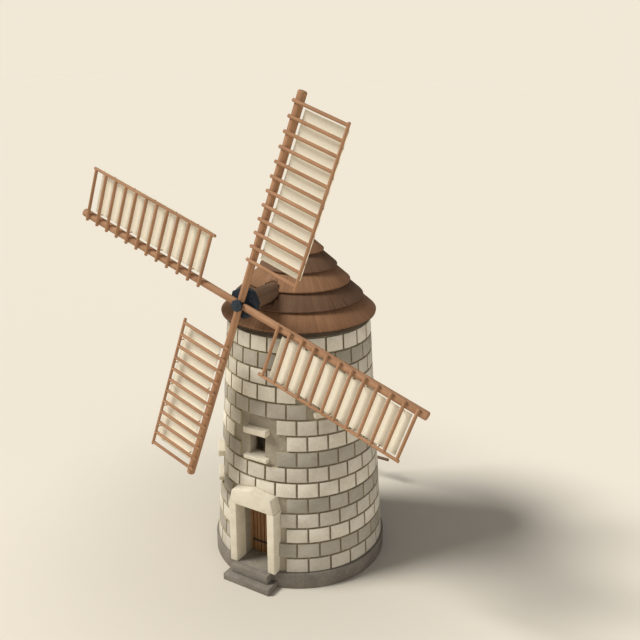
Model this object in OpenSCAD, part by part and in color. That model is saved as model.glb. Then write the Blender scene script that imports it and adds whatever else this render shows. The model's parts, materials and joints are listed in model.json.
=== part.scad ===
// Traditional round stone tower mill: a drystone-faced tower on a plinth, a boarded
// conical cap that turns to the wind, and four lattice sails spread with canvas.
// Millimetres. Z is up, the ground is z = 0, the doorway and the sails face -Y.

/* [Tower] */

// Radius of the round plinth at the foot of the tower
plinth_radius = 2750; // [2400:10:3300]
// Height of the plinth, which is also the ground floor's level
plinth_height = 510; // [300:10:700]
// Height of the tower wall above the plinth
wall_height = 7360; // [6000:10:9000]
// Outer radius of the bare wall at its foot
wall_foot_radius = 2612; // [2200:1:3100]
// Outer radius of the bare wall at its top
wall_top_radius = 2096; // [1700:1:2500]
// Thickness of the wall
wall_thickness = 610; // [450:10:800]

/* [Doorway] */

// Clear width between the two door jambs
door_width = 1120; // [900:10:1300]
// Clear height of the doorway above the floor
door_height = 2030; // [1800:10:2300]
// Width of each dressed jamb stone, seen from the front
jamb_width = 250; // [180:5:320]
// How far the dressed surround stands out from the tower's axis
surround_front = 2760; // [2650:5:3300]
// Depth of the surround's stones from front to back
surround_depth = 470; // [300:5:600]
// Height of the gabled lintel at its shoulders
lintel_shoulder = 460; // [300:5:560]
// Height of the gabled lintel at its peak
lintel_peak = 615; // [400:5:700]
// Distance from the tower's axis to the outer face of the door leaf
leaf_front = 1990; // [1700:5:2350]
// Thickness of the boarded door leaf
leaf_thickness = 60; // [40:1:90]

/* [Steps] */

// Width of the lower step
lower_step_width = 1660; // [1200:10:2000]
// Distance from the tower's axis to the front of the lower step
lower_step_front = 3140; // [3000:10:3800]
// Height of the lower step
lower_step_height = 220; // [120:5:260]
// Width of the upper step
upper_step_width = 1320; // [1000:10:1700]
// Distance from the tower's axis to the front of the upper step
upper_step_front = 2940; // [2800:10:3500]

/* [Windows] */

// Clear width of a window opening
window_width = 530; // [350:5:650]
// Clear height of a window opening
window_height = 715; // [500:5:850]
// Height of the sill of the lowest window above the plinth
first_sill_height = 2165; // [1900:5:2600]
// Rise from each window to the next one up
window_rise = 1472; // [1100:4:1700]
// Turn round the tower from each window to the next one up, in degrees
window_turn = 52.5; // [30:0.5:80]
// How far the window frames sit back from the wall's face
frame_setback = 320; // [100:5:400]
// Length of the dressed sill and lintel stones
dressing_length = 790; // [600:5:1000]
// How far the dressed stones stand out from the bare wall
dressing_projection = 160; // [80:5:220]

/* [Cap] */

// How far the eaves stand out past the top of the bare wall
eave_overhang = 239; // [120:1:400]
// Height of one lapped ring of the roof
ring_rise = 457; // [300:1:560]
// Radius of the small cone at the peak
peak_radius = 360; // [200:5:600]
// Height of the small cone at the peak
peak_height = 410; // [200:5:700]
// How far each ring of boards stands out over the one below
ring_lap = 70; // [40:1:100]
// Clearance between the tower and the turning cap
cap_gap = 8; // [6:1:20]

/* [Sails] */

// Height of the sails' centre above the top of the wall
shaft_rise = 1120; // [900:10:1300]
// Distance from the tower's axis to the middle of the sail arms
sail_reach = 2972; // [2900:1:3600]
// How far the windshaft's front end tips up, in degrees
shaft_tilt = 1.5; // [0:0.1:8]
// Radius of the windshaft
shaft_radius = 268; // [200:1:300]
// Length of a sail arm from the windshaft's centre to its tip
arm_length = 5930; // [4500:10:6600]
// Thickness of a sail arm across its flats at the tip
arm_width = 240; // [160:2:300]
// Thickness of a sail arm across its flats at the windshaft
arm_root_width = 200; // [140:2:280]
// Lean of the upright sail at rest, clockwise seen from the front, in degrees
sail_turn = 19; // [0:1:89]
// Number of rungs in each sail
rung_count = 12; // [6:1:14]
// Distance from the windshaft's centre to the innermost rung
first_rung = 1365; // [1000:5:2000]
// Thickness of a rung
rung_diameter = 94; // [50:1:110]
// Distance from the middle of the arm to the outer edge bar
lattice_width = 1490; // [1100:5:1800]
// Thickness of the outer edge bar
edge_bar_diameter = 88; // [55:1:110]

/* [Tail] */

// Distance from the tower's axis to the foot of the tail pole
tail_reach = 4610; // [4200:10:6500]
// Height of the tail pole's foot and its push bar above the ground
tail_height = 1000; // [350:5:1300]
// Thickness of the tail pole
tail_diameter = 190; // [100:5:220]
// Length of the push bar across the foot of the tail pole
push_bar_length = 1980; // [1200:10:2400]

/* [Hidden] */

$fn = 72;
e = 1;

stone_tone = [0.72, 0.68, 0.60];
wall_tone = [0.56, 0.52, 0.46];
dressed_tone = [0.87, 0.82, 0.70];
plinth_tone = [0.47, 0.45, 0.40];
roof_tone = [0.45, 0.31, 0.23];
dark_tone = [0.29, 0.24, 0.19];
iron_tone = [0.24, 0.26, 0.28];
timber_tone = [0.64, 0.45, 0.30];
plank_tone = [0.45, 0.31, 0.19];
canvas_tone = [0.92, 0.87, 0.73];

course_height = wall_height / 15;
wall_top = plinth_height + wall_height;
hairline = 0.1;
hairline_turn = 0.002;
lower_top = plinth_height + 7 * course_height;
middle_top = plinth_height + 10 * course_height;

door_head = plinth_height + door_height;
surround_back = surround_front - surround_depth;
rebate_front = leaf_front + 6;
rebate_left = door_width / 2 + 105;
rebate_right = door_width / 2 + 75;
rebate_top = door_head + 50;
over_door_turn = 24;
lintel_lean = 115;
pin_x = -(door_width / 2 + 58);
pin_y = -(leaf_front - leaf_thickness);
pin_radius = 11;
leaf_left = pin_x + 18;
leaf_right = door_width / 2 + 40;
leaf_bottom = plinth_height + 8;
leaf_top = door_head + 30;
band_low = plinth_height + 410;
band_high = door_head - 400;

window_angles = [-window_turn, 0, window_turn];
sill_height = 125;
lintel_height = 190;
stile = 60;
frame_depth = 60;
pane_thickness = 8;

eave_radius = wall_top_radius + eave_overhang;
eave_height = wall_top + 193;
ring_step = (eave_radius - peak_radius) / 5;
lip_radius = 34;
board_depth = 130;
ring_thinning = 40;
curb_inner = wall_top_radius - wall_thickness + 10;
curb_outer = wall_top_radius + 50;
soffit_depth = 28;

shaft_height = wall_top + shaft_rise;
shaft_clear = 12;
poll_depth = 200;
core_size = arm_root_width + 10;
poll_radius = 450;
boss_radius = 178;
boss_depth = 60;
bearing_front = wall_top_radius - 946;
bearing_back = wall_top_radius - 1596;
front_beam_inset = 314;
back_beam_inset = 473;
beam_height = 250;
beam_depth = 240;
bearing_clear = 2;
block_reach = shaft_radius + 102;

shaft_tail = 650;
shaft_length = sail_reach + shaft_tail - arm_width / 2 - poll_depth;
rung_front = arm_width / 2 + 10;
last_rung = arm_length - 260;
rung_gap = (last_rung - first_rung) / (rung_count - 1);
rung_stub = arm_width / 2 + 10;
cloth_thickness = 10;
cloth_back = 20;
cloth_inset = 120;
cloth_start = arm_width / 2 + 70;
cloth_edge = lattice_width - 5;
peg_radius = 14;

tail_beam_size = 180;
tail_beam_end = eave_radius + 640;
tail_top = eave_height;

// Half length of a cross beam whose corners stay inside the wall's top by an inset.
function beam_reach(y, inset) =
    sqrt(pow(wall_top_radius - inset, 2) - pow(y + beam_depth / 2, 2));

// Outer radius of the bare wall at a height.
function wall_radius(z) = wall_foot_radius
    + (wall_top_radius - wall_foot_radius) * (z - plinth_height) / wall_height;
// Outer radius of the lower edge of a roof ring, and its height.
function ring_radius(k) = eave_radius - (k - 1) * ring_step;
function ring_height(k) = eave_height + (k - 1) * ring_rise;
// Height of the windshaft's centre at a distance behind the tower's axis.
function shaft_centre(y) = shaft_height - (sail_reach + y) * tan(shaft_tilt);
function sill_top(k) = plinth_height + first_sill_height + (k - 1) * window_rise;
function window_middle(k) = sill_top(k) + window_height / 2;

// One curved stretch of wall between two heights, from one bearing to another. A hairline
// joint parts it from the stretch below it and from the ones beside it.
module wall_stretch(z0, z1, a0, a1) {
    rotate([0, 0, a0 - 90 + hairline_turn])
        rotate_extrude(angle = a1 - a0 - 2 * hairline_turn, $fn = 144)
            polygon([
                [wall_radius(z0) - wall_thickness, z0 + hairline],
                [wall_radius(z0), z0 + hairline],
                [wall_radius(z1), z1],
                [wall_radius(z1) - wall_thickness, z1]
            ]);
}

// A box at a bearing round the tower, from one distance from the axis to another.
module at_bearing(a, w, far, near, z0, z1) {
    rotate([0, 0, a])
        translate([-w / 2, -far, z0])
            cube([w, far - near, z1 - z0]);
}

module window_cuts(k) {
    a = window_angles[k - 1];
    r = wall_radius(window_middle(k));
    at_bearing(a, window_width, r + 400, r - wall_thickness - 500,
        sill_top(k), sill_top(k) + window_height);
    sill_space(k);
    lintel_space(k);
}

// Every window's opening, so that each stretch of wall is cut by those that reach it.
module all_window_cuts() {
    for (k = [1:3])
        window_cuts(k);
}

module sill_space(k) {
    r = wall_radius(window_middle(k));
    at_bearing(window_angles[k - 1], dressing_length + 20, r + dressing_projection,
        r - frame_setback + 60, sill_top(k) - sill_height, sill_top(k));
}

module lintel_space(k) {
    r = wall_radius(window_middle(k));
    at_bearing(window_angles[k - 1], dressing_length, r + dressing_projection,
        r - frame_setback + 60, sill_top(k) + window_height,
        sill_top(k) + window_height + lintel_height);
}

// The gabled outline of the lintel over the doorway, from a height up. Its sides lean in.
module surround_outline(z0) {
    foot = door_width / 2 + jamb_width - 10;
    lean = lintel_lean / lintel_shoulder;
    polygon([
        [-foot - lean * (door_head - z0), z0],
        [foot + lean * (door_head - z0), z0],
        [foot - lintel_lean, door_head + lintel_shoulder],
        [0, door_head + lintel_peak],
        [-foot + lintel_lean, door_head + lintel_shoulder]
    ]);
}

// The way through the lower wall, with the seats for the jambs and the leaf's rebate.
module door_cuts() {
    w = door_width / 2 + jamb_width;
    translate([-door_width / 2, -surround_front - 200, plinth_height - e])
        cube([door_width, surround_front - 800, door_height + 2 * e]);
    translate([-w, -surround_front - 200, plinth_height - e])
        cube([2 * w, surround_depth + 200, door_height + 2 * e]);
    leaf_rebate(plinth_height - e);
}

module leaf_rebate(z0) {
    translate([-rebate_left, -rebate_front, z0])
        cube([rebate_left + rebate_right, rebate_front - 1000, rebate_top - z0]);
}

// The space that the piece over the doorway takes out of the walls beside it.
module over_door_space() {
    rotate([0, 0, -over_door_turn - 90])
        rotate_extrude(angle = 2 * over_door_turn, $fn = 144)
            polygon([
                [900, door_head],
                [3400, door_head],
                [3400, lower_top + e],
                [900, lower_top + e]
            ]);
}

module plinth() {
    color(plinth_tone) cylinder(h = plinth_height, r = plinth_radius, $fn = 288);
}

module wall_lower_right() {
    color(wall_tone) difference() {
        wall_stretch(plinth_height, lower_top, 0, 120);
        door_cuts();
        over_door_space();
        all_window_cuts();
    }
}

module wall_lower_back() {
    color(wall_tone) wall_stretch(plinth_height, lower_top, 120, 240);
}

module wall_lower_left() {
    color(wall_tone) difference() {
        wall_stretch(plinth_height, lower_top, 240, 360);
        door_cuts();
        over_door_space();
        all_window_cuts();
    }
}

module wall_over_door() {
    color(wall_tone) difference() {
        wall_stretch(door_head, lower_top, -over_door_turn, over_door_turn);
        all_window_cuts();
        leaf_rebate(door_head - e);
        translate([0, -surround_back, 0])
            rotate([90, 0, 0])
                linear_extrude(surround_depth + 200) surround_outline(door_head - e);
    }
}

module wall_middle_front() {
    color(wall_tone) difference() {
        wall_stretch(lower_top, middle_top, -90, 90);
        all_window_cuts();
    }
}

module wall_middle_back() {
    color(wall_tone) wall_stretch(lower_top, middle_top, 90, 270);
}

module wall_upper_front() {
    color(wall_tone) difference() {
        wall_stretch(middle_top, wall_top, -60, 120);
        all_window_cuts();
    }
}

module wall_upper_back() {
    color(wall_tone) wall_stretch(middle_top, wall_top, 120, 300);
}

// The two dressed stones that stand each side of the doorway.
module door_jambs() {
    color(dressed_tone) for (s = [0, 1])
        mirror([s, 0, 0])
            translate([door_width / 2, -surround_front, plinth_height])
                cube([jamb_width, surround_depth, door_height]);
}

module door_lintel() {
    color(dressed_tone)
        translate([0, -surround_back, 0])
            rotate([90, 0, 0])
                linear_extrude(surround_depth) surround_outline(door_head);
}

module step_block(w, front, z0, z1) {
    difference() {
        translate([-w / 2, -front, z0])
            cube([w, front - plinth_radius + 400, z1 - z0]);
        translate([0, 0, z0 - e])
            cylinder(h = z1 - z0 + 2 * e, r = plinth_radius, $fn = 288);
    }
}

module step_lower() {
    color(plinth_tone)
        step_block(lower_step_width, lower_step_front, 0, lower_step_height);
}

module step_upper() {
    color(plinth_tone)
        step_block(upper_step_width, upper_step_front, lower_step_height, plinth_height);
}

module window_lintels() {
    color(dressed_tone) for (k = [1:3]) lintel_space(k);
}

module window_sills() {
    color(dressed_tone) for (k = [1:3]) sill_space(k);
}

module window_frames() {
    color(plank_tone) for (k = [1:3]) window_frame(k);
}

module window_frame(k) {
    r = wall_radius(window_middle(k)) - frame_setback;
    pane = (window_width - 3 * stile) / 2;
    difference() {
        at_bearing(window_angles[k - 1], window_width, r, r - frame_depth,
            sill_top(k), sill_top(k) + window_height);
        for (s = [-1, 1])
            rotate([0, 0, window_angles[k - 1]])
                translate([s * (pane + stile) / 2, 0, 0])
                    at_bearing(0, pane, r + 10, r - frame_depth - 10,
                        sill_top(k) + stile, sill_top(k) + window_height - stile);
    }
}

module window_panes() {
    color([0.55, 0.62, 0.66]) for (k = [1:3], s = [-1, 1]) window_pane(k, s);
}

module window_pane(k, s) {
    r = wall_radius(window_middle(k)) - frame_setback - 26;
    pane = (window_width - 3 * stile) / 2;
    rotate([0, 0, window_angles[k - 1]])
        translate([s * (pane + stile) / 2, 0, 0])
            at_bearing(0, pane, r, r - pane_thickness,
                sill_top(k) + stile, sill_top(k) + window_height - stile);
}

// Iron pins in the rebate that carry the door's bands.
module door_pintles() {
    color(iron_tone) for (z = [band_low, band_high]) {
        translate([pin_x, pin_y, z - 38])
            cylinder(h = 76, r = pin_radius, $fn = 24);
        translate([-rebate_left, pin_y - 9, z - 50])
            cube([rebate_left + pin_x + pin_radius, 18, 14]);
    }
}

module door_leaf() {
    color(plank_tone) difference() {
        translate([leaf_left, -leaf_front, leaf_bottom])
            cube([leaf_right - leaf_left, leaf_thickness, leaf_top - leaf_bottom]);
        for (z = [band_low, band_high])
            translate([pin_x, pin_y, z - 45])
                cylinder(h = 90, r = 30, $fn = 24);
    }
}

// Straps across the front of the leaf, and bands behind it with an eye on each pin.
module door_ironwork() {
    color(iron_tone) for (z = [band_low, band_high]) {
        translate([-door_width / 2 + 70, -leaf_front - 8, z - 32])
            cube([door_width - 150, 8, 64]);
        difference() {
            union() {
                translate([pin_x, pin_y, z - 30])
                    cylinder(h = 60, r = 24, $fn = 24);
                translate([pin_x, pin_y, z - 30])
                    cube([620, 8, 60]);
            }
            translate([pin_x, pin_y, z - 31])
                cylinder(h = 62, r = pin_radius + 1, $fn = 24);
        }
    }
}

// The timber ring that the cap stands on, with the boarded soffit under the eaves.
module cap_curb() {
    z0 = wall_top + cap_gap;
    color(dark_tone)
        rotate_extrude($fn = 144)
            polygon([
                [curb_inner, z0],
                [curb_outer, z0],
                [curb_outer, eave_height - soffit_depth],
                [eave_radius - 12, eave_height - soffit_depth],
                [eave_radius - 12, eave_height],
                [curb_inner, eave_height]
            ]);
}

module roof_ring(k) {
    r0 = ring_radius(k);
    r1 = ring_radius(k + 1) - ring_lap;
    z0 = ring_height(k);
    z1 = ring_height(k + 1);
    color(roof_tone) difference() {
        rotate_extrude($fn = 144)
            polygon(concat(
                [[r1 - board_depth + ring_thinning, z1], [r0 - board_depth, z0]],
                [for (a = [-90:22.5:45])
                    [r0 - lip_radius + lip_radius * cos(a), z0 + lip_radius + lip_radius * sin(a)]],
                [[r1, z1]]));
        if (k > 1) shaft_hole();
        if (k == 1) tail_hole();
    }
}

// Puts its children on the windshaft's line: Z runs back along it, from a distance behind
// the middle of the arms.
module along_shaft(back) {
    translate([0, -sail_reach, shaft_height])
        rotate([-90 - shaft_tilt, 0, 0])
            translate([0, 0, back])
                children();
}

// The way through the roof for the windshaft, on the front side only.
module shaft_hole() {
    along_shaft(0)
        cylinder(h = sail_reach - 400, r = shaft_radius + shaft_clear, $fn = 72);
}

module tail_hole() {
    translate([-tail_beam_size / 2, 1000, eave_height - e])
        cube([tail_beam_size, 2000, tail_beam_size + e]);
}

module roof_ring_1() { roof_ring(1); }
module roof_ring_2() { roof_ring(2); }
module roof_ring_3() { roof_ring(3); }
module roof_ring_4() { roof_ring(4); }
module roof_ring_5() { roof_ring(5); }

module roof_peak() {
    color(roof_tone)
        translate([0, 0, ring_height(6)])
            cylinder(h = peak_height, r1 = peak_radius, r2 = 0);
}

// Two beams across the cap, each with a block that holds the windshaft.
module shaft_bearings() {
    color(dark_tone) {
        bearing_beam(-bearing_front, beam_reach(bearing_front, front_beam_inset));
        bearing_beam(bearing_back, beam_reach(bearing_back, back_beam_inset));
    }
}

module bearing_beam(y, reach) {
    difference() {
        union() {
            translate([-reach, y - beam_depth / 2, eave_height])
                cube([2 * reach, beam_depth, beam_height]);
            translate([-block_reach, y - beam_depth / 2 + 20, eave_height])
                cube([2 * block_reach, beam_depth - 40, shaft_centre(y) - eave_height]);
        }
        along_shaft(0)
            cylinder(h = 2 * sail_reach, r = shaft_radius + bearing_clear, $fn = 72);
        if (y > 0)
            translate([-tail_beam_size / 2, y + beam_depth / 2 - 60, eave_height - e])
                cube([tail_beam_size, 200, tail_beam_size + e]);
    }
}

// The beam that reaches out of the back of the cap to carry the tail pole.
module tail_beam() {
    y0 = bearing_back + beam_depth / 2 - 60;
    color(dark_tone)
        translate([-tail_beam_size / 2, y0, eave_height])
            cube([tail_beam_size, tail_beam_end - y0, tail_beam_size]);
}

// The sloping pole that the miller walks round to face the sails into the wind.
module tail_pole() {
    y1 = tail_beam_end - 130;
    run = tail_reach - y1;
    drop = tail_top - tail_height;
    color(dark_tone) difference() {
        translate([0, tail_reach, tail_height])
            rotate([atan(run / drop), 0, 0])
                cylinder(h = sqrt(run * run + drop * drop) + 200, r = tail_diameter / 2,
                    $fn = 48);
        translate([-500, y1 - 800, tail_top])
            cube([1000, 1600, 800]);
        translate([-push_bar_length / 2 - 1, tail_reach, tail_height])
            rotate([0, 90, 0])
                cylinder(h = push_bar_length + 2, r = 55, $fn = 48);
        translate([-500, tail_reach - 300, tail_height - 300])
            cube([1000, 900, 300]);
    }
}

module push_bar() {
    color(dark_tone)
        translate([-push_bar_length / 2, tail_reach, tail_height])
            rotate([0, 90, 0])
                cylinder(h = push_bar_length, r = 55, $fn = 48);
}

module windshaft() {
    color(dark_tone) along_shaft(arm_width / 2 + poll_depth + hairline)
        cylinder(h = shaft_length, r = shaft_radius, $fn = 72);
}

// Puts its children in a sail's own frame: X along the arm, -Y to the front, +Z across to
// the side without the lattice. The arms' middles meet at its origin.
module on_sail(n) {
    translate([0, -sail_reach, shaft_height])
        rotate([-shaft_tilt, 0, 0])
            rotate([0, sail_turn + 90 * (n - 1) - 90, 0])
                children();
}

// A straight octagonal piece that runs back along the windshaft's line.
module octagon_piece(front, length, radius) {
    translate([0, front + length, 0])
        rotate([90, 0, 0])
            rotate([0, 0, 22.5])
                cylinder(h = length, r = radius, $fn = 8);
}

// The cast poll end behind the arms, the core between them and the boss in front.
module hub_iron() {
    color(iron_tone) on_sail(1) {
        octagon_piece(arm_width / 2, poll_depth, poll_radius);
        translate([-core_size / 2, -arm_width / 2, -core_size / 2])
            cube([core_size, arm_width, core_size]);
        octagon_piece(-arm_width / 2 - boss_depth, boss_depth, boss_radius);
    }
}

module rungs() {
    for (k = [0:rung_count - 1])
        translate([first_rung + k * rung_gap, -rung_front, rung_stub])
            mirror([0, 0, 1])
                cylinder(h = rung_stub + lattice_width, r = rung_diameter / 2, $fn = 24);
}

module sail_arm(n) {
    color(timber_tone) on_sail(n) difference() {
        translate([core_size / 2, 0, 0])
            rotate([0, 90, 0])
                rotate([0, 0, 22.5])
                    cylinder(h = arm_length - core_size / 2, r1 = arm_root_width / 2 / cos(22.5),
                        r2 = arm_width / 2 / cos(22.5), $fn = 8);
        rungs();
    }
}

// A peg that stands back from the lattice and carries the edge of the canvas.
module cloth_peg(along, across) {
    translate([along, cloth_back, -across])
        rotate([90, 0, 0])
            cylinder(h = rung_front + cloth_back, r = peg_radius, $fn = 16);
}

module sail_lattice(n) {
    bar_start = first_rung - 0.37 * rung_gap;
    bar_end = last_rung + 0.21 * rung_gap;
    color(timber_tone) on_sail(n) {
        rungs();
        translate([bar_start, -rung_front, -lattice_width])
            rotate([0, 90, 0])
                cylinder(h = bar_end - bar_start, r = edge_bar_diameter / 2, $fn = 24);
        for (k = [1.5:2:rung_count - 2])
            cloth_peg(first_rung + k * rung_gap, cloth_edge - 1.2 * peg_radius);
        for (k = [1:3:rung_count - 2])
            cloth_peg(first_rung + k * rung_gap, cloth_start + 1.2 * peg_radius);
    }
}

module sail_cloth(n) {
    color(canvas_tone) on_sail(n)
        translate([first_rung + cloth_inset, cloth_back, -cloth_edge])
            cube([last_rung - first_rung - 2 * cloth_inset, cloth_thickness,
                cloth_edge - cloth_start]);
}

module sail_arm_1() { sail_arm(1); }
module sail_arm_2() { sail_arm(2); }
module sail_arm_3() { sail_arm(3); }
module sail_arm_4() { sail_arm(4); }
module sail_lattice_1() { sail_lattice(1); }
module sail_lattice_2() { sail_lattice(2); }
module sail_lattice_3() { sail_lattice(3); }
module sail_lattice_4() { sail_lattice(4); }
module sail_cloth_1() { sail_cloth(1); }
module sail_cloth_2() { sail_cloth(2); }
module sail_cloth_3() { sail_cloth(3); }
module sail_cloth_4() { sail_cloth(4); }

plinth();
wall_lower_right();
wall_lower_back();
wall_lower_left();
wall_over_door();
wall_middle_front();
wall_middle_back();
wall_upper_front();
wall_upper_back();
door_jambs();
door_lintel();
step_lower();
step_upper();
window_lintels();
window_sills();
window_frames();
window_panes();
door_pintles();
door_leaf();
door_ironwork();
cap_curb();
roof_ring_1();
roof_ring_2();
roof_ring_3();
roof_ring_4();
roof_ring_5();
roof_peak();
shaft_bearings();
tail_beam();
tail_pole();
push_bar();
windshaft();
hub_iron();
sail_arm_1();
sail_arm_2();
sail_arm_3();
sail_arm_4();
sail_lattice_1();
sail_lattice_2();
sail_lattice_3();
sail_lattice_4();
sail_cloth_1();
sail_cloth_2();
sail_cloth_3();
sail_cloth_4();
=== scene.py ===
"""The finished look of a round stone tower mill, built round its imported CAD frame.

Metres. Z is up, the ground is z = 0, the doorway and the sails face -Y.
"""

import json
import math
import random

import bpy
from mathutils import Matrix, Vector


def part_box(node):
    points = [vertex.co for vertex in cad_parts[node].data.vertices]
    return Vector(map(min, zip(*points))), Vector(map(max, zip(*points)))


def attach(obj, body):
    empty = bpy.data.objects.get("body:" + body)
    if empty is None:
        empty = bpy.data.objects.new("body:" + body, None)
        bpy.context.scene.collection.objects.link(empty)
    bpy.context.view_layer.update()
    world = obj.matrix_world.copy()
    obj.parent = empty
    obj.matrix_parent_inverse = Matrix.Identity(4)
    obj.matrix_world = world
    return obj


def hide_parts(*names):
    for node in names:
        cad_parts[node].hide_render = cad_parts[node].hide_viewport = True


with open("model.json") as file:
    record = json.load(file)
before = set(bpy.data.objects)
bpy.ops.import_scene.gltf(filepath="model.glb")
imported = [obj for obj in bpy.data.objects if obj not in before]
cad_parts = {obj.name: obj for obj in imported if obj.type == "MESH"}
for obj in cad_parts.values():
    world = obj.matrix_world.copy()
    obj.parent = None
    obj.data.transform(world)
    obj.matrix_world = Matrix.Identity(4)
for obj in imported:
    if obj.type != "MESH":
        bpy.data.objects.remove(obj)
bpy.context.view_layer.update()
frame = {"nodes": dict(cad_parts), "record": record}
record = frame["record"]
chance = random.Random(7)

BODY = {n: b for b, nodes in record["behaviour"]["bodies"].items() for n in nodes}
SLOT = {part["node"]: part["material_slot"] for part in record["subparts"]}
JOINT = {joint["name"]: joint for joint in record["behaviour"]["joints"]}


# --- Sizes ----------------------------------------------------------------------------

COURSES = 15
STONES_ROUND = 24
JOINT_WIDTH = 0.056
STONE_STANDS_OUT = 0.07
STONE_ROOTED = 0.03
STONE_EDGE = 0.013
STONE_PROUD_BY_CHANCE = 0.003
COURSE_TONES = (0.5, 0.1, 0.9)
TONE_BY_CHANCE = 0.14
SURROUND_GAP = 0.008

# The courses beside the doorway leave the wall bare this far round to each side, in
# degrees, wide and narrow by turns.
DOORWAY_COURSES = 5
DOORWAY_WIDE = 22.5
DOORWAY_NARROW = 10
# So do the three courses round each window, of which the middle one is wide.
WINDOW_TURNS = (-52.5, 0.0, 52.5)
FIRST_WINDOW_COURSE = 4
COURSES_BETWEEN_WINDOWS = 3
WINDOW_WIDE = 22.5
WINDOW_NARROW = 15
# The courses that meet the jambs and the lintel, whose nearest stones are cut to fit.
JAMB_COURSES = (1, 3)
JAMB_REACH = 30
LINTEL_COURSE = 5
LINTEL_REACH = 15

RUNGS = 12
BAR_PAST_FIRST_RUNG = 0.37
BAR_PAST_LAST_RUNG = 0.21
RUNG_RADIUS = 0.047
BAR_RADIUS = 0.044
PEG_RADIUS = 0.014
OUTER_PEGS = (1.5, 3.5, 5.5, 7.5, 9.5)
INNER_PEGS = (1, 4, 7, 10)
PEG_INSET = 0.017
CLOTH_THICKNESS = 0.004
CLOTH_BELLY = 0.012
CLOTH_RIPPLE = 0.002
CLOTH_STEPS_ALONG, CLOTH_STEPS_ACROSS = 72, 24
CANVAS_STRIP = 0.71
EYELET_RADIUS = 0.02
EYELET_ROPE = 0.0045

DOOR_BOARDS = 9
BOARD_GAP = 0.026
BACK_BOARDS = 11
BACK_GAP = 0.003
BACK_THICKNESS = 0.022
STUDS = 7
STUD_RADIUS = 0.013
STUD_GAP = 0.15
FIRST_STUD = 0.17
STUD_FROM_STRAP_EDGE = 0.032

HUB_BOLTS = 4
BOLT_CIRCLE = 0.34
BOLT_RADIUS = 0.03
NUT_RADIUS = 0.05
PLATE_BEHIND_BOSS = 0.25

SUN_STRENGTH = 3.12
FILL_STRENGTH = 0.7
SKY_STRENGTH = 0.17
# Distances from the mill over which the floor's painted shade fades out.
FLOOR_SHADE_NEAR, FLOOR_SHADE_FAR = 1.0, 12.0

floor_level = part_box("plinth")[1].z
wall_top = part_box("wall_upper_back")[1].z
wall_foot_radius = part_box("wall_lower_back")[1].y
wall_waist_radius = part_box("wall_middle_back")[1].y
wall_waist_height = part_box("wall_middle_back")[0].z
wall_slope = (wall_waist_radius - wall_foot_radius) / (wall_waist_height - floor_level)
course_height = (wall_top - floor_level) / COURSES

hub = Vector(JOINT["sail_spin"]["pos_m"])
hub_axis = Vector(JOINT["sail_spin"]["axis"])
shaft_tilt = math.atan2(-hub_axis.z, hub_axis.y)
upright = Matrix.Rotation(shaft_tilt, 4, "X") @ Matrix.Translation(-hub)
arm_corners = {tuple(round(c, 4) for c in upright @ vertex.co)
               for vertex in frame["nodes"]["sail_arm_1"].data.vertices}
arm_tip = sorted(map(Vector, arm_corners), key=lambda corner: -corner.xz.length)[:8]
arm_end = sum(arm_tip, Vector()) / len(arm_tip)
sail_turn = math.atan2(arm_end.x, arm_end.z)


def wall_radius(z):
    """Outer radius of the bare wall at a height."""
    return wall_foot_radius + wall_slope * (z - floor_level)


def sail_place(number):
    """Where a sail's own frame lies: X along the arm, -Y to the front, -Z to the lattice."""
    turn = sail_turn + math.radians(90 * (number - 2))
    return (
        Matrix.Translation(hub)
        @ Matrix.Rotation(-shaft_tilt, 4, "X")
        @ Matrix.Rotation(turn, 4, "Y")
    )


def box_in(place, node):
    """The lowest and highest corner of a CAD node in another frame."""
    back = place.inverted()
    points = [back @ v.co for v in frame["nodes"][node].data.vertices]
    low = Vector([min(p[i] for p in points) for i in range(3)])
    high = Vector([max(p[i] for p in points) for i in range(3)])
    return low, high


# --- Modelling helpers ----------------------------------------------------------------

def only(*pieces):
    """Selects these pieces and nothing else, with the first one active."""
    bpy.ops.object.select_all(action="DESELECT")
    for piece in pieces:
        piece.select_set(True)
    bpy.context.view_layer.objects.active = pieces[0]


def edit(piece, kind="FACE", pick=None):
    """Goes into edit mode with the picked faces, edges or vertices selected, or all."""
    only(piece)
    bpy.ops.object.mode_set(mode="EDIT")
    bpy.ops.mesh.select_mode(type=kind)
    bpy.ops.mesh.select_all(action="SELECT" if pick is None else "DESELECT")
    if pick is None:
        return
    bpy.ops.object.mode_set(mode="OBJECT")
    mesh = piece.data
    if kind == "FACE":
        for face in mesh.polygons:
            face.select = pick(face.center, face.normal)
    if kind == "EDGE":
        for edge in mesh.edges:
            edge.select = pick(*(mesh.vertices[i].co for i in edge.vertices))
    if kind == "VERT":
        for vertex in mesh.vertices:
            vertex.select = pick(vertex.co)
    bpy.ops.object.mode_set(mode="EDIT")


def done():
    """Leaves edit mode."""
    bpy.ops.object.mode_set(mode="OBJECT")


def settle(piece):
    """Puts a piece's place, turn and scale into its mesh."""
    only(piece)
    bpy.ops.object.transform_apply(location=True, rotation=True, scale=True)
    return piece


def modify(piece, kind, **settings):
    """Adds a modifier and applies it."""
    only(piece)
    modifier = piece.modifiers.new(kind.lower(), kind)
    for name, value in settings.items():
        setattr(modifier, name, value)
    bpy.ops.object.modifier_apply(modifier=modifier.name)
    return piece


def ease(piece, width, segments=2, corner=35):
    """Rounds a piece's sharp edges."""
    return modify(piece, "BEVEL", width=width, segments=segments,
                  limit_method="ANGLE", angle_limit=math.radians(corner))


def smooth(piece, corner=38):
    """Shades a piece smooth across all but its sharp edges."""
    only(piece)
    bpy.ops.object.shade_smooth_by_angle(angle=math.radians(corner))
    return piece


def face_out(piece):
    """Turns all faces outwards after doubles are merged."""
    edit(piece)
    bpy.ops.mesh.remove_doubles(threshold=0.0002)
    bpy.ops.mesh.normals_make_consistent(inside=False)
    done()
    return piece


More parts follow.
